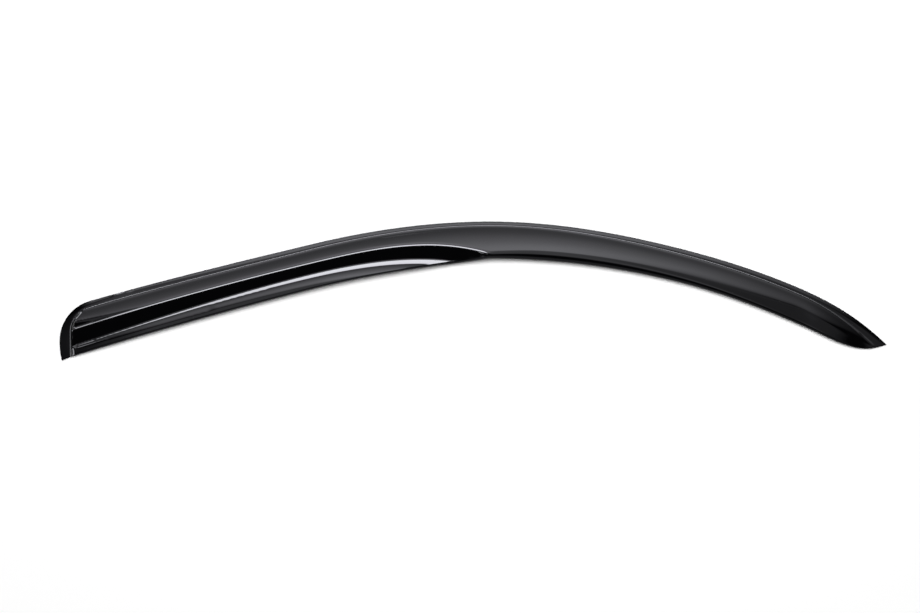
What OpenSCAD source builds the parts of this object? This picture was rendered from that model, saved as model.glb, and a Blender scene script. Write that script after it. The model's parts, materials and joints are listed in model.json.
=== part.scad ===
// Window deflector for a front side door: one thin moulded shell.
// It lies on the back of its fixing flange with the outer face up (+Z), the rear
// end at -X, the front tip at +X and the edge that follows the roof at +Y.

/* [Top edge] */
// Length from the rear edge to the front tip
length = 980; // [900:5:1080]
// Distance from the rear edge to the highest point of the arch
apex_x = 510; // [450:5:570]
// Distance from the rear edge to the rear haunch, where the straight rear run ends
rear_haunch_x = 300; // [260:5:340]
// Distance from the rear edge to the front haunch
front_haunch_x = 700; // [660:5:740]
// Distance from the front tip back to the shoulder, where the arch turns down
shoulder_back = 100; // [80:5:120]
// Fall of the top edge from the apex to the start of the rear corner
rear_fall = 94.2; // [84:0.2:104]
// Fall of the top edge from the apex to the rear haunch
rear_haunch_fall = 26.6; // [22:0.2:31]
// Fall of the top edge from the apex to the front haunch
front_haunch_fall = 23.6; // [19:0.2:28]
// Fall of the top edge from the apex to the shoulder
shoulder_fall = 80.4; // [72:0.2:88]
// Fall of the top edge from the apex to the front tip
tip_fall = 146; // [136:1:156]
// Slope of the top edge at the rear corner, in degrees
rear_slope = 15.9; // [12:0.1:19]
// Slope of the top edge at the rear haunch, in degrees
rear_haunch_slope = 13.5; // [10:0.1:16]
// Slope of the top edge at the front haunch, in degrees
front_haunch_slope = 12.8; // [10:0.1:16]
// Slope of the top edge at the shoulder, in degrees
shoulder_slope = 23.5; // [19:0.1:27]
// Slope of the top edge at the front tip, in degrees
tip_slope = 44.4; // [38:0.2:50]
// Radius of the rear corner of the outline
corner_r = 49; // [40:1:56]
// How far the foot of the rear edge bows in
rear_bow = 2.6; // [0:0.2:5]

/* [Flange] */
// Width of the flange along the rear edge
flange_rear = 12.7; // [9:0.1:16]
// Width of the flange on top, next to the rear corner
flange_start = 7.7; // [6:0.1:11]
// Width of the flange at the apex
flange_apex = 4.9; // [4:0.1:8]
// Width of the flange at the shoulder
flange_shoulder = 6.9; // [6:0.1:11]
// Width of the flange at the front tip
flange_tip = 12.6; // [10:0.1:14]
// How far the flange's lower end hangs below the body's edge at the rear
flange_drop = 1.1; // [0:0.1:2]
// Thickness left at the flange's bevelled outer edge
flange_lip = 1.5; // [1:0.1:2.4]
// Share of the flange's width that is flat, before the bevel
flange_flat = 0.45; // [0.3:0.05:0.7]
// The same share next to the rear corner
flange_flat_corner = 0.8; // [0.3:0.05:0.9]
// The same share along the rear edge
flange_flat_rear = 0.1; // [0.05:0.05:0.7]
// Radius of the crease at the rear corner
crease_r = 28; // [22:0.5:32]

/* [Body] */
// Wall thickness of the shell
wall = 2.5; // [1.8:0.1:3.2]
// Width from the top edge to the lower edge at the rear
rear_depth = 60; // [56:0.1:63]
// The same width at the scoop's crown
crown_depth = 54.4; // [51:0.1:58]
// The same width where the scoop ends
waist_depth = 44.7; // [42:0.1:47]
// The same width in the middle of the front half
front_depth = 40.6; // [37:0.1:44]
// The same width at the shoulder
shoulder_depth = 43.5; // [40:0.1:47]
// Angle at which the body leaves the flange, in degrees
crease_angle = 35; // [28:1:42]
// Angle at which the body arrives at its lower edge beside the scoop, in degrees
brow_angle = 8; // [2:0.5:10]
// The same angle at the shoulder, in degrees
valley_angle = -2; // [-4:0.5:4]
// Half width of the hollow along the crease
crease_soft = 1.2; // [0.8:0.1:2]
// Half width of that hollow at the shoulder
shoulder_soft = 1.6; // [1:0.1:3.2]
// Width of the lip along the body's lower edge, from the scoop's crown to its front end
lip_start = 3.8; // [3:0.1:5]
// Width of the lip at the shoulder
lip_w = 12; // [8:0.5:15]
// Width of the lip at the rear end
lip_rear = 10.5; // [6:0.5:12]
// Angle at which the lip lies, in degrees
lip_angle = 3.5; // [0:0.5:8]
// Angle at which it lies at the rear end, in degrees
lip_rear_angle = -8; // [-10:0.5:4]
// Run over which the lip widens towards the rear end
lip_rear_run = 100; // [60:5:140]
// Run of the end wall that closes the rear
end_wall_run = 4.5; // [4:0.5:8]
// Half width of the hollow at the foot of that wall
end_wall_soft = 0.6; // [0.3:0.1:1]
// Width of the rolled edge along the wing
wing_roll = 3.6; // [3.2:0.1:5]
// Width of the rolled edge in the front half
front_roll = 8.8; // [6:0.2:10]
// Width of the rolled edge at the shoulder
shoulder_roll = 4.5; // [3.4:0.1:6]
// How far the edge rolls down, as a share of its height above the flange
roll_share = 0.42; // [0.3:0.02:0.55]

/* [Scoop] */
// Distance from the rear edge to the front end of the scoop
scoop_end = 510; // [470:2:540]
// Distance from the scoop's front end back to where the wing starts
wing_back = 45; // [34:1:56]
// Distance from the rear edge to the scoop's crown, where it lies highest
scoop_crown = 300; // [260:5:340]
// Distance from the top edge down to the scoop's upper edge at the rear
scoop_rear = 28.6; // [26:0.2:31]
// The same distance at the crown
scoop_top = 22.8; // [21:0.2:25]
// Distance from the top edge down to the foot of the wing at the rear
wing_rear = 48; // [46:0.2:50]
// The same distance at the crown
wing_top = 36; // [34:0.2:38]
// Width of the bead along the scoop's upper edge
bead_w = 2; // [1.4:0.1:3]
// Angle to which that bead turns up, in degrees
bead_angle = 40; // [25:1:45]
// Run over which the bead fades out at the scoop's front end
bead_fade = 4; // [2:0.5:10]
// Height of the step from the bead down into the scoop
step_drop = 1.6; // [1:0.1:3]
// Run of that step
step_run = 0.9; // [0.7:0.1:2]
// Angle at which the scoop's floor falls towards the wing, in degrees
floor_angle = 9; // [4:1:14]
// Angle at which the wing rises from the scoop's floor, in degrees
wing_angle = 43; // [34:1:50]
// Angle at which the wing arrives at its rolled edge, in degrees
wing_flat_angle = 3; // [0:0.5:8]
// Run over which the wing levels out at the rear end
wing_swell_rear = 4.5; // [2.5:0.5:8]
// The same run at the wing's front end
wing_swell = 17; // [10:0.5:18]
// Half width of the hollow along the foot of the wing
wing_soft = 0.8; // [0.5:0.1:2]
// Distance from the rear crease to the scoop's rear end
scoop_inset = 3; // [2.6:0.2:6]
// Run of the wall that closes the scoop at its rear end
scoop_wall_run = 3; // [2.5:0.5:6]

/* [Hidden] */

function mix(a, b, t) = a + (b - a) * t;
function clamp(t) = min(1, max(0, t));
function ease(t) = let (c = clamp(t)) c * c * (3 - 2 * c);

// A ramp of slope 1 that starts at 0 out of a hollow of half width e
function ramp(q, e) = q <= -e ? 0 : q >= e ? q : (q + e) * (q + e) / (4 * e);

// Smooth curve through nodes of [place, value, slope], straight on past both ends
function span(a, b, x) =
    let (h = b[0] - a[0], t = (x - a[0]) / h, tt = t * t, ttt = tt * t)
    (2 * ttt - 3 * tt + 1) * a[1] + (ttt - 2 * tt + t) * h * a[2]
    + (3 * tt - 2 * ttt) * b[1] + (ttt - tt) * h * b[2];
function curve(nodes, x, k = 0) =
    let (a = nodes[k], b = nodes[k + 1])
    x <= a[0] ? a[1] + a[2] * (x - a[0])
    : x <= b[0] ? span(a, b, x)
    : k + 2 < len(nodes) ? curve(nodes, x, k + 1)
    : b[1] + b[2] * (x - b[0]);

// Plan curves against the distance x from the rear edge. The top edge's heights are
// measured from the apex; every other curve is a width down from the top edge.
shoulder_x = length - shoulder_back;
end_share = 1.08;
body_end = length - end_share * flange_tip;
wing_start = scoop_end - wing_back;
corner_x = corner_r * (1 - sin(rear_slope));

top_nodes = [
    [corner_x, -rear_fall, tan(rear_slope)],
    [rear_haunch_x, -rear_haunch_fall, tan(rear_haunch_slope)],
    [apex_x, 0, 0],
    [front_haunch_x, -front_haunch_fall, -tan(front_haunch_slope)],
    [shoulder_x, -shoulder_fall, -tan(shoulder_slope)],
    [length, -tip_fall, -tan(tip_slope)]
];
function top_y(x) = curve(top_nodes, x);
function top_angle(x) = atan((top_y(x + 1) - top_y(x - 1)) / 2);

flange_nodes = [
    [corner_x, flange_start, 0],
    [apex_x, flange_apex, 0],
    [shoulder_x, flange_shoulder, 0],
    [body_end, flange_tip, 0.02]
];
function flange_w(x) = curve(flange_nodes, x);
function flange_y(x) = flange_w(x) / cos(top_angle(x));

wing_edge = [
    [flange_rear, rear_depth, -0.005],
    [scoop_crown, crown_depth, -0.01],
    [scoop_end, waist_depth, -0.13]
];
front_mid = 0.62;
front_edge = [
    [scoop_end, waist_depth, 0],
    [mix(scoop_end, shoulder_x, front_mid), front_depth, 0],
    [shoulder_x, shoulder_depth, 0],
    [body_end, flange_y(body_end), -1.05]
];
edge_blend = 5;
function sharp_depth(x) = x < scoop_end ? curve(wing_edge, x) : curve(front_edge, x);
function depth(x) =
    abs(x - scoop_end) > edge_blend ? sharp_depth(x)
    : (sharp_depth(x - edge_blend) + 2 * sharp_depth(x) + sharp_depth(x + edge_blend)) / 4;

roll_start = scoop_end - 50;
roll_full = scoop_end + 75;
roll_nodes = [
    [roll_start, wing_roll, 0.04],
    [roll_full, front_roll, 0],
    [shoulder_x, shoulder_roll, -0.01],
    [body_end, 1, -0.04]
];
function roll_w(x) =
    x < roll_start ? wing_roll : min(curve(roll_nodes, x), 0.4 * (depth(x) - flange_y(x)));
function brow(x) = depth(x) - roll_w(x);

crest_nodes = [
    [flange_rear, scoop_rear, -0.03],
    [scoop_crown, scoop_top, 0],
    [scoop_end, brow(scoop_end), 0.30]
];
foot_nodes = [
    [flange_rear, wing_rear, -0.035],
    [scoop_crown, wing_top, 0],
    [wing_start, brow(wing_start), 0.17]
];
function crest(x) = x >= scoop_end ? brow(x) : min(curve(crest_nodes, x), brow(x));
function foot(x) = x >= wing_start ? brow(x) : min(curve(foot_nodes, x), brow(x));

// The hollow along the crease
soft_nodes = [
    [scoop_end, crease_soft, 0],
    [shoulder_x, shoulder_soft, 0],
    [body_end, crease_soft, 0]
];
function soft(x) = x < scoop_end ? crease_soft : curve(soft_nodes, x);

// The lip along the body's lower edge. Beside the scoop its outer part turns up as a bead.
function rear_share(x) = clamp(1 - (x - flange_rear) / lip_rear_run);
function front_share(x) = clamp((x - scoop_end) / (shoulder_x - scoop_end));
function end_part(x) = clamp((x - shoulder_x) / (body_end - shoulder_x));
function lip(x) =
    min(
        lip_start + (lip_rear - lip_start) * pow(rear_share(x), 2)
        + (lip_w - lip_start) * pow(front_share(x), 4) - lip_w / 2 * end_part(x),
        0.45 * (brow(x) - flange_y(x))
    );
function lip_slope(x) = tan(mix(lip_angle, lip_rear_angle, ease(rear_share(x))));

// The body's slope falls evenly from the crease to the lip
function body_run(x) =
    let (u = max(x, scoop_end))
    max(wall, (brow(u) - flange_y(u) - lip(u)) * cos(top_angle(u)));
function end_slope(x) = tan(mix(brow_angle, valley_angle, pow(front_share(x), 3)));
function body_bend(x) = (tan(crease_angle) - end_slope(x)) / (2 * body_run(x));
function bend_run(x) = min(body_run(x), (crest(x) - flange_y(x) - lip(x)) * cos(top_angle(x)));
function lip_turn(x) = lip_slope(x) - tan(crease_angle) + 2 * body_bend(x) * bend_run(x);
function bead_turn(x) = (tan(bead_angle) - lip_slope(x)) * ease((scoop_end - x) / bead_fade);

// Section at x as a list, and its values by name
function section(x) = [
    x, flange_y(x), crest(x), foot(x), brow(x), depth(x),
    step_drop * ease((brow(x) - crest(x)) / wing_roll / 2), cos(top_angle(x)), soft(x),
    body_bend(x), bend_run(x), lip(x), lip_turn(x), bead_turn(x),
    mix(wing_swell_rear, wing_swell, clamp((x - flange_rear) / (wing_start - flange_rear)))
];
function place(s) = s[0];
function flange_v(s) = s[1];
function crest_v(s) = s[2];
function foot_v(s) = s[3];
function brow_v(s) = s[4];
function edge_v(s) = s[5];
function step_h(s) = s[6];
function lean(s) = s[7];
function soft_w(s) = s[8];
function bend(s) = s[9];
function bend_w(s) = s[10];
function lip_v(s) = s[11];
function turn(s) = s[12];
function up_turn(s) = s[13];
function swell_w(s) = s[14];

// Height of a slope of 1 that levels out evenly over a run
function levelled(q, run) = let (bent = min(q, run)) bent * (2 * q - bent);

// Heights across the section at a width v: the swelling body above the scoop
function hump_z(s, v) =
    let (
        q = max(0, v - flange_v(s)) * lean(s),
        hollow = bead_w / 5,
        lipped = q - (crest_v(s) - flange_v(s) - lip_v(s)) * lean(s),
        beaded = q - (crest_v(s) - flange_v(s) - bead_w) * lean(s)
    )
    wall + tan(crease_angle) * ramp(q - soft_w(s), soft_w(s)) - bend(s) * levelled(q, bend_w(s))
    + turn(s) * ramp(lipped - hollow, hollow) + up_turn(s) * ramp(beaded - hollow, hollow);

// The scoop: a step down, a falling floor, then the wing swelling out again
wing_fade = 3;
function scoop_z(s, v) =
    let (
        rise = tan(wing_angle) * ease((brow_v(s) - foot_v(s)) / wing_fade),
        fall = tan(floor_angle),
        flat = min(rise, tan(wing_flat_angle)),
        past = max(0, v - foot_v(s))
    )
    hump_z(s, crest_v(s)) - step_h(s) * clamp((v - crest_v(s)) / step_run)
    - fall * max(0, v - crest_v(s) - step_run)
    + (rise + fall) * ramp(v - foot_v(s), wing_soft)
    - (rise - flat) * levelled(past, swell_w(s)) / (2 * swell_w(s));

function brow_z(s) = place(s) >= scoop_end ? hump_z(s, brow_v(s)) : scoop_z(s, brow_v(s));
function rim_z(s) = mix(brow_z(s), wall, roll_share);
function roll_z(s, v) =
    let (t = clamp((v - brow_v(s)) / max(0.01, edge_v(s) - brow_v(s))))
    rim_z(s) + (brow_z(s) - rim_z(s)) * sqrt(1 - t * t);

// Across the section with the scoop closed (open = 0) or cut out (open = 1)
function face_z(s, v, open) =
    v <= crest_v(s) ? hump_z(s, v)
    : v >= brow_v(s) ? roll_z(s, v)
    : mix(
        mix(hump_z(s, crest_v(s)), brow_z(s), (v - crest_v(s)) / (brow_v(s) - crest_v(s))),
        scoop_z(s, v), open
    );

// Rear corner: the crease runs round an arc from the top edge to the rear edge
arc_x = flange_rear + crease_r;
arc_top_x = flange_rear + crease_r * (1 - sin(rear_slope));
arc_y = top_y(arc_top_x) - flange_y(arc_top_x) - crease_r * cos(rear_slope);
arc_mid = (270 + rear_slope) / 2;
function arc_rise(x) = sqrt(max(0, crease_r * crease_r - x * x));
function crease_y(x) = x < arc_top_x ? arc_y + arc_rise(arc_x - x) : top_y(x) - flange_y(x);
function crease_x(y) = y > arc_y ? arc_x - arc_rise(y - arc_y) : flange_rear;

// Distance inside the crease round the rear end, and the end wall that rises there
function rear_gap(x, y) =
    x >= arc_x ? crease_r : y <= arc_y ? x - flange_rear : crease_r - norm([x - arc_x, y - arc_y]);
function rear_turn(x, y) =
    y <= arc_y ? 1 : ease((atan2(y - arc_y, x - arc_x) - 90 - rear_slope) / (90 - rear_slope));
function end_wall(x, y) =
    let (
        run = end_wall_run * rear_turn(x, y),
        soft = min(end_wall_soft, run / 4),
        gap = rear_gap(x, y)
    )
    gap >= run ? 1 : sin(90 * clamp(ramp(gap - soft, soft) / (run - soft)));

function outer_z(s, x, y) =
    let (open = ease((rear_gap(x, y) - scoop_inset) / scoop_wall_run))
    wall + end_wall(x, y) * (face_z(s, min(top_y(x) - y, edge_v(s)), open) - wall);

// The inner face keeps the wall: it is as deep as a ball of the wall's radius, rolled
// along the outer face, reaches below it
ball = [for (a = [0, 22, 44, 64, 80, 90]) wall * [sin(a), cos(a)]];
across = [90, 270];
around = [0, 45, 90, 135, 180, 225, 270, 315];
function dent(s, x, y, r, drop, turn) =
    let (bx = x + r * cos(turn), by = max(top_y(bx) - edge_v(s), y + r * sin(turn)))
    outer_z(s, bx, by) - drop;
function inner_z(s, x, y) =
    let (turns = x < arc_x + wall ? around : across)
    max(0, min([for (b = ball, turn = turns) dent(s, x, y, b[0], b[1], turn)]));

// Rows of a section, as widths down from the top edge
row_gap = 2.6;
hump_rows = ceil(scoop_top / row_gap) + 2;
floor_rows = ceil((wing_top - scoop_top) / row_gap / 2);
wing_rows = ceil((crown_depth - wing_roll - wing_top) / row_gap / 1.5);
roll_rows = ceil(front_roll / row_gap * 1.5);
function hump_row(s, k) =
    let (
        w = crest_v(s) - flange_v(s),
        near = min(2 * soft_w(s) / lean(s), w / 4),
        wide = min(lip_v(s), 0.6 * w),
        bead = min(bead_w, wide / 2),
        lip_rows = [0, bead / 2, bead, (bead + wide) / 2, wide],
        back = hump_rows - k
    )
    flange_v(s) + (
        k < 3 ? near * k / 2
        : back < 5 ? w - lip_rows[back]
        : mix(near, w - wide, (k - 2) / (hump_rows - 6))
    );
function scoop_part(s) =
    let (
        start = crest_v(s) + min(step_run, (brow_v(s) - crest_v(s)) / 6),
        near = min(wing_soft, (foot_v(s) - start) / 4, 0.02 + (brow_v(s) - foot_v(s)) / 4),
        low = min(foot_v(s), brow_v(s) - 2 * near)
    )
    concat(
        [for (k = [0:floor_rows]) mix(start, low - near, k / floor_rows)],
        [low],
        [for (k = [0:wing_rows]) mix(low + near, brow_v(s), pow(k / wing_rows, 1.4))]
    );
function rows(s) = concat(
    [for (k = [0:hump_rows]) hump_row(s, k)],
    place(s) < scoop_end ? scoop_part(s) : [],
    [for (k = [1:roll_rows]) mix(brow_v(s), edge_v(s), sin(90 * k / roll_rows))]
);
scoop_rows = floor_rows + wing_rows + 3;
full_rows = hump_rows + scoop_rows + roll_rows + 1;

// Stations: close round the rear corner, at the scoop's front end and evenly between
station_gap = 8.6;
corner_end = arc_x + station_gap * 2.4;
corner_stations = ceil(2.4 * (corner_end - flange_rear) / station_gap);
scoop_stations = ceil((wing_start - corner_end) / station_gap);
taper_stations = ceil(1.3 * wing_back / station_gap);
front_stations = ceil((body_end - scoop_end) / station_gap / 1.2);
stations = concat(
    [for (k = [0:corner_stations - 1])
        mix(flange_rear, corner_end, pow(k / corner_stations, 1.5))],
    [for (k = [0:scoop_stations - 1]) mix(corner_end, wing_start, k / scoop_stations)],
    [for (k = [0:taper_stations - 1]) mix(wing_start, scoop_end, sin(90 * k / taper_stations))],
    [for (k = [0:front_stations]) mix(scoop_end, body_end, k / front_stations)]
);
merge = corner_stations + scoop_stations + taper_stations;
last = len(stations) - 1;

// Plan place of row j at station i. Up to corner_end the stations fan round the corner.
corner_point = [arc_x + crease_r * cos(arc_mid), arc_y + crease_r * sin(arc_mid)];
first = section(flange_rear);
first_rows = rows(first);
fan_end = section(corner_end);
fan_rows = rows(fan_end);
function hump_share(j) = (fan_rows[j] - fan_rows[0]) / (fan_rows[hump_rows] - fan_rows[0]);
function fan_x(j, t) =
    let (y = mix(corner_point[1], top_y(flange_rear) - crest_v(first), hump_share(j)))
    mix(j < hump_rows ? crease_x(y) : flange_rear, corner_end, t);
function fan_y(j, t, x) =
    let (
        share = hump_share(j),
        left = mix(corner_point[1], top_y(flange_rear) - crest_v(first), share),
        top_x = mix(corner_point[0], corner_end, t),
        bow = crease_y(top_x) - mix(corner_point[1], crease_y(corner_end), t)
    )
    j < hump_rows ? mix(left, top_y(corner_end) - fan_rows[j], t) + (1 - share) * bow
    : top_y(x) - rows(section(x))[j];
station_rows = [for (x = stations) rows(section(x))];
function plan(i, j) =
    i < corner_stations
    ? let (t = pow(i / corner_stations, 1.5), x = fan_x(j, t)) [x, fan_y(j, t, x)]
    : [stations[i], top_y(stations[i]) - station_rows[i][j]];

// The inner face stops a wall short of the rolled edge, but not where the flange ends
function pull_in(s, x, y) =
    let (
        v = top_y(x) - y,
        full = end_wall(x, y) * sqrt(clamp((brow_z(s) - wall) / 10)),
        run = min(12, edge_v(s) - flange_v(s) + 0.01)
    )
    wall * full * ease((v - edge_v(s) + run) / run);

function row_count(i) = i < merge ? full_rows : i < last ? full_rows - scoop_rows : 1;
body_plan = [for (i = [0:last], j = [0:row_count(i) - 1]) plan(i, j)];
body_outer = [for (p = body_plan) [p[0], p[1], outer_z(section(p[0]), p[0], p[1])]];
body_inner = [
    for (p = body_plan)
    let (s = section(p[0]), y = p[1] + pull_in(s, p[0], p[1]))
    [p[0], y, inner_z(s, p[0], y)]
];

// Index of row j at station i. Rows that have run together share one point.
starts = [for (i = 0, n = 0; i <= last; n = n + row_count(i), i = i + 1) n];
function row_at(i, j) =
    i < merge ? j
    : i == last ? 0
    : j < hump_rows ? j
    : max(hump_rows, j - scoop_rows);
function at(i, j) = starts[i] + row_at(i, j);

// The flange: from the crease, up the rear wall and along the top, to the outline
crease_ids = concat(
    [for (j = [full_rows - 1:-1:0]) at(0, j)],
    [for (i = [1:last]) at(i, 0)]
);
arc_len = crease_r * (90 - rear_slope) * PI / 180;
left_len = arc_y - (top_y(flange_rear) - edge_v(first));
turn_len = corner_r * (90 - rear_slope) * PI / 180;
corner_y = -rear_fall - corner_r * cos(rear_slope);
foot_y = top_y(rear_bow) - curve(wing_edge, rear_bow) - flange_drop;
out_end = corner_end - flange_w(corner_end) * sin(top_angle(corner_end));
function crease_way(p) =
    p[1] <= arc_y && p[0] < arc_x ? p[1] - arc_y + left_len
    : p[0] < arc_top_x ? left_len + arc_len
        * (180 - atan2(p[1] - arc_y, p[0] - arc_x)) / (90 - rear_slope)
    : left_len + arc_len + (p[0] - arc_top_x) / cos(rear_slope);
crease_all = crease_way([corner_end, crease_y(corner_end)]);
outline_all = corner_y - foot_y + turn_len + (out_end - corner_x) / cos(rear_slope);
function outline_at(way) =
    let (up = way - (corner_y - foot_y), a = 180 - (90 - rear_slope) * up / turn_len)
    up < 0 ? [rear_bow * pow(up / (corner_y - foot_y), 2), corner_y + up]
    : up < turn_len ? [corner_r + corner_r * cos(a), corner_y + corner_r * sin(a)]
    : let (x = corner_x + (up - turn_len) * cos(rear_slope)) [x, top_y(x)];
function outline_by(p) =
    p[0] < corner_end ? outline_at(outline_all * crease_way(p) / crease_all)
    : let (x = p[0] - flange_w(p[0]) * sin(top_angle(p[0]))) [x, top_y(x)];

crease_plan = [for (id = crease_ids) body_plan[id]];
outline = concat([for (p = crease_plan) outline_by(p)], [[length, -tip_fall]]);
function flat_share(x) =
    x < corner_end
    ? mix(flange_flat_rear, flange_flat_corner, (x - flange_rear) / (corner_end - flange_rear))
    : mix(flange_flat_corner, flange_flat, ease((x - corner_end) / (scoop_crown - corner_end)));
bevel = [
    for (k = [0:len(crease_plan) - 1])
    mix(crease_plan[k], outline[k], flat_share(crease_plan[k][0]))
];

// All points in one list: outer face, then inner face, each with bevel and outline
function level(points, z) = [for (p = points) [p[0], p[1], z]];
size = len(body_plan) + len(bevel) + len(outline);
points = concat(
    body_outer, level(bevel, wall), level(outline, flange_lip),
    body_inner, level(bevel, 0), level(outline, 0)
);
bevel_at = len(body_plan);
outline_first = bevel_at + len(bevel);
tip_id = size - 1;
chain_end = len(crease_ids) - 1;

function quad(a, b, c, d) = [[a, b, c], [a, c, d]];
face_cells = concat(
    [for (i = [0:last - 1], j = [0:full_rows - 2])
        each quad(at(i, j), at(i + 1, j), at(i + 1, j + 1), at(i, j + 1))],
    [for (k = [0:chain_end - 1])
        each quad(bevel_at + k, bevel_at + k + 1, crease_ids[k + 1], crease_ids[k])],
    [for (k = [0:chain_end - 1])
        each quad(outline_first + k, outline_first + k + 1, bevel_at + k + 1, bevel_at + k)],
    [[crease_ids[chain_end], bevel_at + chain_end, tip_id],
        [bevel_at + chain_end, outline_first + chain_end, tip_id]]
);
top_faces = [for (f = face_cells) if (f[0] != f[1] && f[1] != f[2] && f[0] != f[2]) f];
rim = concat(
    [for (k = [0:len(outline) - 1]) outline_first + k],
    [for (i = [last:-1:0]) at(i, full_rows - 1)],
    [bevel_at]
);
rim_faces = [
    for (k = [0:len(rim) - 1])
    let (a = rim[k], b = rim[(k + 1) % len(rim)])
    each quad(a, a + size, b + size, b)
];

// The origin is the middle of the outline's box, on the plane of the flange's back
module visor() {
    color([0.09, 0.09, 0.1])
        translate([-length / 2, -foot_y / 2, 0])
            polyhedron(
                points,
                concat(
                    top_faces,
                    [for (f = top_faces) [f[2] + size, f[1] + size, f[0] + size]],
                    rim_faces
                ),
                convexity = 8
            );
}

visor();
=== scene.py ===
import json
import math
import bpy
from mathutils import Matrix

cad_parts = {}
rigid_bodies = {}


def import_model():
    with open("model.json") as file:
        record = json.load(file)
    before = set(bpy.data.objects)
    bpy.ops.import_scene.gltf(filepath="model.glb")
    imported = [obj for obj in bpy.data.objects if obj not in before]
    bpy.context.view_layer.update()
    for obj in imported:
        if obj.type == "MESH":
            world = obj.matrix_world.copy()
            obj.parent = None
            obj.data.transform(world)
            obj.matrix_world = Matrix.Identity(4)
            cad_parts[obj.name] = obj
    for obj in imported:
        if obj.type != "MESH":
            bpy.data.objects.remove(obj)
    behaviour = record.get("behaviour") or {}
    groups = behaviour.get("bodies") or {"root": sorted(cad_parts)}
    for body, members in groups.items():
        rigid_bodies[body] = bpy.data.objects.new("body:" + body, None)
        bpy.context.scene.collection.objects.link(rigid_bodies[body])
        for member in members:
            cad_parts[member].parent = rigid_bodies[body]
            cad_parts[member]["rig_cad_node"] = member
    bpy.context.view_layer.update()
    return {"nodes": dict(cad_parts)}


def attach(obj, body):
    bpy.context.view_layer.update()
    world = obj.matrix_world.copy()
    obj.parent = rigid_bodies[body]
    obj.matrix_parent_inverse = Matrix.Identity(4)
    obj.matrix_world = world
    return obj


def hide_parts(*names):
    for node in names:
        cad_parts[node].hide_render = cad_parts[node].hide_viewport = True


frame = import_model()
bpy.context.scene.view_settings.view_transform = "Standard"
print("frame loaded")

# The view straight down on the deflector as it lies on its back
view = {
    "place": (-0.0155, -0.0184, 5.01),
    "lens": 165.4,
    "sensor": 36.0,
    "clip": 60.0,
}


def addCamera():
    bpy.ops.object.camera_add(location=view["place"], rotation=(0, 0, 0))
    camera = bpy.context.object
    camera.name = "viewCamera"
    camera.data.lens = view["lens"]
    camera.data.sensor_width = view["sensor"]
    camera.data.clip_end = view["clip"]
    camera.data.dof.use_dof = False
    bpy.context.scene.camera = camera


addCamera()
print("camera placed")

white = (1, 1, 1, 1)


# Node helpers. A value given to them is a socket to link or a plain value to set.
def addNode(tree, kind, **values):
    node = tree.nodes.new(kind)
    for name, value in values.items():
        setattr(node, name, value)
    return node


def feed(tree, target, value):
    if hasattr(value, "is_output"):
        tree.links.new(value, target)
    else:
        target.default_value = value


def math2(tree, operation, first, second=0.0):
    node = addNode(tree, "ShaderNodeMath", operation=operation)
    feed(tree, node.inputs[0], first)
    feed(tree, node.inputs[1], second)
    return node.outputs[0]


def product(tree, first, second):
    return math2(tree, "MULTIPLY", first, second)


def brighter(tree, first, second):
    return math2(tree, "MAXIMUM", first, second)


# An angle in degrees
def angle(tree, operation, first, second=0.0):
    return math2(tree, "DEGREES", math2(tree, operation, first, second))


def mapRange(tree, value, start, end, low=0.0, high=1.0, blend="LINEAR"):
    node = addNode(tree, "ShaderNodeMapRange", interpolation_type=blend)
    for place, item in enumerate((value, start, end, low, high)):
        feed(tree, node.inputs[place], item)
    return node.outputs[0]


def mixShader(tree, share, first, second):
    node = addNode(tree, "ShaderNodeMixShader")
    for place, item in enumerate((share, first, second)):
        feed(tree, node.inputs[place], item)
    return node.outputs[0]


def mixColour(tree, share, first, second):
    node = addNode(tree, "ShaderNodeMix", data_type="RGBA")
    for place, item in ((0, share), (6, first), (7, second)):  # its sockets for colours
        feed(tree, node.inputs[place], item)
    return node.outputs[2]


def noise(tree, vector, scale, detail):
    node = addNode(tree, "ShaderNodeTexNoise")
    for name, value in (("Vector", vector), ("Scale", scale), ("Detail", detail)):
        feed(tree, node.inputs[name], value)
    return node.outputs["Fac"]


# A value read off a table of places and values, straight between them
def table(tree, value, rows, peak):
    ramp = addNode(tree, "ShaderNodeValToRGB")
    stops = ramp.color_ramp.elements
    low, high = rows[0][0], rows[-1][0]
    for place, height in rows:
        share = (place - low) / (high - low)
        if place == low:
            stop = stops[0]
        elif place == high:
            stop = stops[-1]
        else:
            stop = stops.new(share)
        stop.position = share
        stop.color = [height / peak] * 3 + [1]
    tree.links.new(mapRange(tree, value, low, high), ramp.inputs[0])
    return product(tree, ramp.outputs[0], peak)


# One for rays from the camera, off a mirror or through glass, and nought for all others
def straightRays(tree):
    path = addNode(tree, "ShaderNodeLightPath")
    both = brighter(tree, path.outputs["Is Camera Ray"], path.outputs["Is Glossy Ray"])
    return brighter(tree, both, path.outputs["Is Transmission Ray"])


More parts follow.
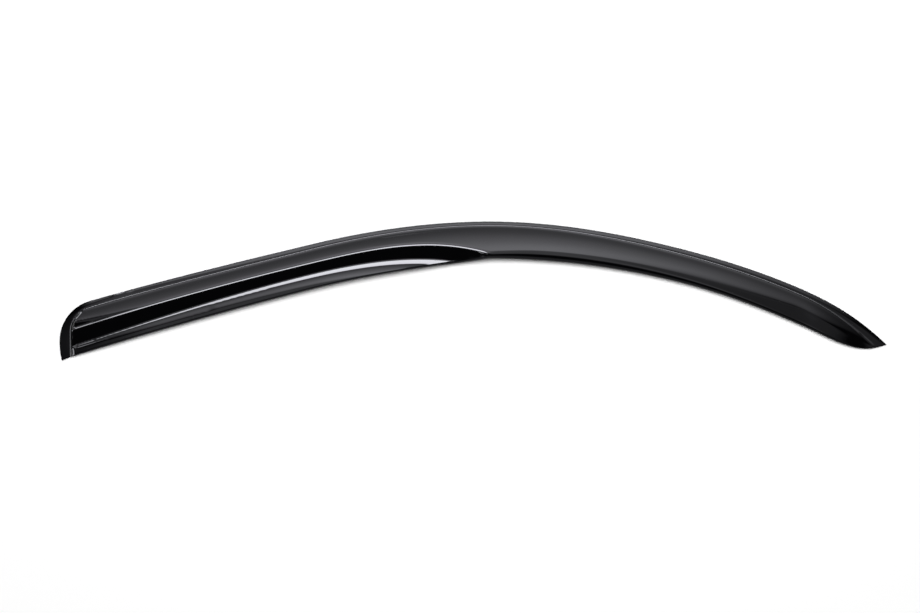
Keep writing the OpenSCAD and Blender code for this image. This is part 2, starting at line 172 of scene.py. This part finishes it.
# The studio's panels as they mirror in the gloss. Angles are in degrees.
studio = {
    "peak": 17.0,              # strength of the low strip
    # angle off the vertical towards the back of the studio, and strength there
    "profile": [
        (-90, 0.0), (-12, 0.0), (-5, 1.0), (7, 1.0), (11.5, 1.75),
        (15, 2.8), (18.5, 3.3), (25, 3.1), (38, 2.2), (50, 1.5), (58, 1.0), (64.5, 0.7),
        (67.5, 17.0), (84, 17.0), (86, 1.0), (90, 1.0),
    ],
    # angle to the side, and share of the strength there
    "spread": [
        (-90, 0.0), (-42, 0.0), (-34, 0.12), (-28, 0.45), (-22, 0.8), (-18, 0.95),
        (-15, 1.0), (12, 1.0), (18, 0.88), (22, 0.75), (26, 0.56), (30, 0.43), (35, 0.3),
        (42, 0.13), (50, 0.0), (90, 0.0),
    ],
    # the same for the panel overhead, which is narrow
    "overhead": [
        (-30, 0.0), (-22, 0.0), (-15, 0.14), (-10, 0.4), (-7.5, 0.6), (-5, 0.75),
        (-3.5, 1.0), (2.5, 1.0), (4.8, 0.75), (5.6, 0.5), (6.6, 0.38), (8, 0.3),
        (14, 0.25), (20, 0.0), (30, 0.0),
    ],
    "overheadFull": 9.0,       # angles off the vertical between which spread takes over
    "overheadEnd": 12.0,
    "tint": (0.98, 0.98, 1.05, 1),
    "leftPeak": 6.0,           # strength of the panel at the left
    "leftLow": 31.0,           # angles off the vertical between which it stands
    "leftHigh": 60.0,
    "leftSoft": 3.0,           # width of its soft edges there
    "leftFrom": 34.0,          # angle to the side where it starts
    "leftFade": 5.0,           # and over which it comes up
    "frontPeak": 0.3,          # strength of the wide panel in front of the object
    "frontLow": 30.0,          # angles off the vertical between which it comes up
    "frontHigh": 42.0,
    "frontStart": -0.15,       # directions along y between which it comes up as well
    "frontFull": -0.4,
    "horizon": 4.0,            # height of the pale band round the floor
    "horizonSoft": 0.02,       # direction along z over which it ends
    "glow": 0.5,               # strength of the dim light all round above it
    "glowLow": 14.0,           # heights between which it fades
    "glowHigh": 24.0,
}

# The soft lamp behind the object, which gloss does not see
fill = {
    "power": 250.0,
    "size": 3.2,
    "place": (0.0, 1.1, 4.3),
}


def addWorld():
    world = bpy.data.worlds.new("studioWorld")
    bpy.context.scene.world = world
    world.use_nodes = True
    tree = world.node_tree
    tree.nodes.clear()
    coords = addNode(tree, "ShaderNodeTexCoord")
    split = addNode(tree, "ShaderNodeSeparateXYZ")
    tree.links.new(coords.outputs["Generated"], split.inputs[0])
    across, along, up = split.outputs

    # Strength against the angle off the vertical
    tilt = angle(tree, "ARCTAN2", along, up)
    strength = table(tree, tilt, studio["profile"], studio["peak"])

    # The panels fade to either side
    side = angle(tree, "ARCTAN2", across, math2(tree, "ABSOLUTE", along))
    panels = table(tree, side, studio["spread"], 1.0)
    slant = angle(tree, "ARCSINE", across)
    overhead = table(tree, slant, studio["overhead"], 1.0)
    near = mapRange(tree, math2(tree, "ABSOLUTE", tilt), studio["overheadFull"],
                    studio["overheadEnd"], 1.0, 0.0)
    shape = math2(tree, "ADD", product(tree, overhead, near),
                  product(tree, panels, math2(tree, "SUBTRACT", 1.0, near)))
    strength = product(tree, strength, shape)

    # A panel at the left lights the crease round the rear end
    polar = angle(tree, "ARCCOSINE", up)
    low, high, soft = studio["leftLow"], studio["leftHigh"], studio["leftSoft"]
    left = product(tree, mapRange(tree, polar, low, low + soft),
                   mapRange(tree, polar, high, high + soft, 1.0, 0.0))
    left = product(tree, left, mapRange(
        tree, side, -studio["leftFrom"], -studio["leftFrom"] - studio["leftFade"]))
    strength = brighter(tree, strength, product(tree, left, studio["leftPeak"]))

    # A wide dim panel in front of the object, seen in the gloss from behind
    front = product(tree, mapRange(tree, polar, studio["frontLow"], studio["frontHigh"]),
                    mapRange(tree, along, studio["frontStart"], studio["frontFull"]))
    strength = brighter(tree, strength, product(tree, front, studio["frontPeak"]))

    # The pale surroundings low down
    horizon = math.sin(math.radians(studio["horizon"]))
    band = mapRange(tree, up, horizon, horizon + studio["horizonSoft"], 1.0, 0.0)
    strength = brighter(tree, strength, band)
    height = angle(tree, "ARCSINE", up)
    strength = brighter(tree, strength, mapRange(
        tree, height, studio["glowLow"], studio["glowHigh"], studio["glow"], 0.0))

    # Only gloss sees the panels. The camera sees white, and the lamp alone lights the floor.
    lit = addNode(tree, "ShaderNodeBackground")
    feed(tree, lit.inputs["Color"], studio["tint"])
    feed(tree, lit.inputs["Strength"], strength)
    plain = addNode(tree, "ShaderNodeBackground")
    feed(tree, plain.inputs["Color"], white)
    path = addNode(tree, "ShaderNodeLightPath")
    shown = mixShader(tree, path.outputs["Is Camera Ray"], lit.outputs[0], plain.outputs[0])
    out = addNode(tree, "ShaderNodeOutputWorld")
    feed(tree, out.inputs["Surface"], shown)
    world.cycles_visibility.diffuse = False


def addFill():
    back, height = fill["place"][1:]
    bpy.ops.object.light_add(type="AREA", location=fill["place"],
                             rotation=(-math.atan2(back, height), 0, 0))
    lamp = bpy.context.object
    lamp.name = "fillLamp"
    lamp.data.shape = "DISK"
    lamp.data.size = fill["size"]
    lamp.data.energy = fill["power"]
    lamp.visible_camera = False
    lamp.visible_glossy = False


floor = {
    "size": 60.0,
    "drop": 0.0004,            # below the flange's back
    "shade": 0.92,             # share of the floor's white that the object can shade
    "paper": (0.98, 0.98, 0.98, 1),
    "near": 0.8,               # the shaded part fades out between these distances
    "far": 1.8,
}


def addFloor():
    bpy.ops.mesh.primitive_plane_add(size=floor["size"], location=(0, 0, -floor["drop"]))
    ground = bpy.context.object
    ground.name = "paleFloor"
    material = bpy.data.materials.new("palePaper")
    material.use_nodes = True
    tree = material.node_tree
    tree.nodes.clear()
    paper = addNode(tree, "ShaderNodeBsdfDiffuse")
    feed(tree, paper.inputs["Color"], floor["paper"])
    glow = addNode(tree, "ShaderNodeEmission")
    feed(tree, glow.inputs["Color"], white)
    coords = addNode(tree, "ShaderNodeTexCoord")
    reach = addNode(tree, "ShaderNodeVectorMath", operation="LENGTH")
    tree.links.new(coords.outputs["Object"], reach.inputs[0])
    share = mapRange(tree, reach.outputs["Value"], floor["near"], floor["far"],
                     floor["shade"], 0.0, "SMOOTHSTEP")
    seen = mixShader(tree, share, glow.outputs[0], paper.outputs[0])
    surface = mixShader(tree, straightRays(tree), paper.outputs[0], seen)
    out = addNode(tree, "ShaderNodeOutputMaterial")
    feed(tree, out.inputs["Surface"], surface)
    ground.data.materials.append(material)


addWorld()
addFill()
addFloor()
print("studio lit")

acrylic = {
    "colour": (0.0016, 0.0016, 0.0019, 1),
    "colourDeep": (0.0010, 0.0010, 0.0012, 1),
    "refraction": 1.49,
    "cloudScale": 60.0,        # clouds of denser pigment
    "cloudDetail": 4.0,
    "roughness": 0.03,
    "roughnessSpread": 0.02,   # added where smears dull the polish
    "smearScale": 14.0,
    "smearDetail": 6.0,
    "smearLow": 0.35,          # noise between which a smear comes up
    "smearHigh": 0.7,
    "lineRoughness": 0.012,    # added in the fine lines left by polishing
    "lineGrain": (9.0, 260.0, 260.0),  # noise scale along each axis
    "lineDetail": 3.0,
    "lineLow": 0.5,            # noise between which a line comes up
    "lineHigh": 0.7,
    "rimRoughness": 0.14,      # added on the trimmed rim of the flange
    "rimHeight": 0.0024,       # where the rim ends
    "rimSoft": 0.0004,
    "rimUpright": 0.2,         # facing along z below which a face is all rim
    "rimFlat": 0.5,            # and from which it is none
    "backRoughness": 0.12,     # added on the unpolished back
    "backFrom": -0.5,          # facing along z where the back starts
    "backFull": -0.7,
    "waveScale": 22.0,         # the slight waviness of a hot formed sheet
    "waveDetail": 2.0,
    "waveHeight": 0.00002,
}


def smokedAcrylic():
    material = bpy.data.materials.new("smokedAcrylic")
    material.use_nodes = True
    tree = material.node_tree
    tree.nodes.clear()
    coords = addNode(tree, "ShaderNodeTexCoord")
    shader = addNode(tree, "ShaderNodeBsdfPrincipled")
    feed(tree, shader.inputs["IOR"], acrylic["refraction"])

    # Faint clouds of denser pigment
    clouds = noise(tree, coords.outputs["Object"], acrylic["cloudScale"],
                   acrylic["cloudDetail"])
    feed(tree, shader.inputs["Base Color"],
         mixColour(tree, clouds, acrylic["colour"], acrylic["colourDeep"]))

    # Smears that dull the polish a little
    smears = noise(tree, coords.outputs["Object"], acrylic["smearScale"],
                   acrylic["smearDetail"])
    dull = mapRange(tree, smears, acrylic["smearLow"], acrylic["smearHigh"],
                    acrylic["roughness"], acrylic["roughness"] + acrylic["roughnessSpread"])

    # Fine lines left by polishing run along the part
    grain = addNode(tree, "ShaderNodeMapping")
    feed(tree, grain.inputs["Scale"], acrylic["lineGrain"])
    tree.links.new(coords.outputs["Object"], grain.inputs["Vector"])
    lines = noise(tree, grain.outputs[0], 1.0, acrylic["lineDetail"])
    dull = math2(tree, "ADD", dull, mapRange(
        tree, lines, acrylic["lineLow"], acrylic["lineHigh"], 0.0, acrylic["lineRoughness"]))

    # The trimmed rim and the back are less polished
    place = addNode(tree, "ShaderNodeSeparateXYZ")
    tree.links.new(coords.outputs["Object"], place.inputs[0])
    facing = addNode(tree, "ShaderNodeSeparateXYZ")
    tree.links.new(coords.outputs["Normal"], facing.inputs[0])
    upright = mapRange(tree, math2(tree, "ABSOLUTE", facing.outputs["Z"]),
                       acrylic["rimUpright"], acrylic["rimFlat"], 1.0, 0.0)
    low = mapRange(tree, place.outputs["Z"], acrylic["rimHeight"] - acrylic["rimSoft"],
                   acrylic["rimHeight"], 1.0, 0.0)
    rim = product(tree, product(tree, upright, low), acrylic["rimRoughness"])
    back = product(tree, mapRange(tree, facing.outputs["Z"], acrylic["backFrom"],
                                  acrylic["backFull"]), acrylic["backRoughness"])
    dull = math2(tree, "ADD", math2(tree, "ADD", dull, rim), back)
    feed(tree, shader.inputs["Roughness"], dull)

    # The slight waviness of a hot formed sheet
    waves = noise(tree, coords.outputs["Object"], acrylic["waveScale"],
                  acrylic["waveDetail"])
    bump = addNode(tree, "ShaderNodeBump")
    feed(tree, bump.inputs["Distance"], acrylic["waveHeight"])
    feed(tree, bump.inputs["Height"], waves)
    feed(tree, shader.inputs["Normal"], bump.outputs["Normal"])
    out = addNode(tree, "ShaderNodeOutputMaterial")
    feed(tree, out.inputs["Surface"], shader.outputs[0])
    return material


shell = {
    "weld": 0.000001,          # distance at which loose corners are joined
    "quadBend": 30.0,          # most degrees between two triangles joined to a quad
    "quadSkew": 60.0,          # and most degrees that its corners may be off square
    "sharp": 32.0,             # degrees between faces past which an edge stays sharp
    "levels": 2,
    "wall": 0.0025,            # height of the flange's outer face
    "levelMargin": 0.00001,    # how far off it a corner may lie
    "fullWeight": 0.99,        # weight in the group past which a corner is on the crease
    # the small step along the crease that catches the light
    "stepHalf": 0.00014,       # half its width
    "stepDrop": 0.00008,       # how far its foot lies below the flange's face
    "stepRise": 0.000115,      # how far its head moves up
    "stepMargin": 0.00003,     # height above the flange that tells the body's side
    "stepFrom": -0.4625,       # place along the part where it starts; a bevel behind it
}


# The corners of a set that have a neighbour outside it above a height
def higherSide(mesh, corners, height):
    found = set()
    for edge in mesh.edges:
        for one, other in (edge.vertices, reversed(edge.vertices)):
            if one in corners and other not in corners and mesh.vertices[other].co.z > height:
                found.add(one)
    return found


# The crease: corners at the flange's height that have a higher neighbour
def markCrease(piece):
    mesh = piece.data
    level, margin = shell["wall"], shell["levelMargin"]
    flat = {v.index for v in mesh.vertices if abs(v.co.z - level) < margin}
    found = higherSide(mesh, flat, level + margin)
    group = piece.vertex_groups.new(name="crease")
    group.add(list(found), 1.0, "REPLACE")
    print("crease marked:", len(found), "corners")
    return found


# Goes to edit mode with only the given corners selected
def selectCorners(piece, corners):
    bpy.ops.object.mode_set(mode="EDIT")
    bpy.ops.mesh.select_mode(type="VERT")
    bpy.ops.mesh.select_all(action="DESELECT")
    bpy.ops.object.mode_set(mode="OBJECT")
    for place in corners:
        piece.data.vertices[place].select = True
    bpy.ops.object.mode_set(mode="EDIT")


# Bevels the crease, then lowers the bevel's outer edge and raises its inner one
def cutStep(piece):
    mesh = piece.data
    group = piece.vertex_groups["crease"].index
    crease = [v.index for v in mesh.vertices if shell["fullWeight"] < sum(
        item.weight for item in v.groups if item.group == group)]
    selectCorners(piece, crease)
    bpy.ops.mesh.bevel(offset=shell["stepHalf"], segments=1, affect="EDGES")
    bpy.ops.object.mode_set(mode="OBJECT")
    bevelled = {v.index for v in mesh.vertices if v.select}
    start = {place for place in bevelled if mesh.vertices[place].co.x > shell["stepFrom"]}
    head = start & higherSide(mesh, bevelled, shell["wall"] + shell["stepMargin"])
    foot = start - head
    print("step cut:", len(foot), "corners below,", len(head), "above")
    for corners, height in ((foot, -shell["stepDrop"]), (head, shell["stepRise"])):
        selectCorners(piece, corners)
        bpy.ops.transform.translate(value=(0, 0, height))
        bpy.ops.object.mode_set(mode="OBJECT")


def addShell():
    bpy.ops.object.select_all(action="DESELECT")
    node = frame["nodes"]["visor"]
    node.select_set(True)
    bpy.context.view_layer.objects.active = node
    bpy.ops.object.duplicate()
    piece = bpy.context.object
    piece.name = "visorShell"
    del piece["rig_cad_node"]
    piece.data.materials.clear()
    bpy.ops.object.mode_set(mode="EDIT")
    bpy.ops.mesh.select_all(action="SELECT")
    bpy.ops.mesh.customdata_custom_splitnormals_clear()
    bpy.ops.mesh.remove_doubles(threshold=shell["weld"])
    bpy.ops.mesh.tris_convert_to_quads(face_threshold=math.radians(shell["quadBend"]),
                                       shape_threshold=math.radians(shell["quadSkew"]))
    bpy.ops.mesh.select_mode(type="EDGE")
    bpy.ops.mesh.select_all(action="DESELECT")
    bpy.ops.mesh.edges_select_sharp(sharpness=math.radians(shell["sharp"]))
    bpy.ops.object.mode_set(mode="OBJECT")

    # The crease keeps its small round also where it is steep
    crease = markCrease(piece)
    for edge in piece.data.edges:
        if crease.issuperset(edge.vertices):
            edge.select = False
    bpy.ops.object.mode_set(mode="EDIT")
    bpy.ops.transform.edge_crease(value=1.0)
    bpy.ops.object.mode_set(mode="OBJECT")
    smooth = piece.modifiers.new("smooth", "SUBSURF")
    smooth.levels = shell["levels"]
    smooth.render_levels = shell["levels"]
    bpy.ops.object.modifier_apply(modifier=smooth.name)
    cutStep(piece)
    bpy.ops.object.shade_smooth_by_angle(angle=math.radians(shell["sharp"]))
    piece.data.materials.append(smokedAcrylic())
    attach(piece, "root")
    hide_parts("visor")
    print("shell smoothed:", len(piece.data.polygons), "faces")


addShell()
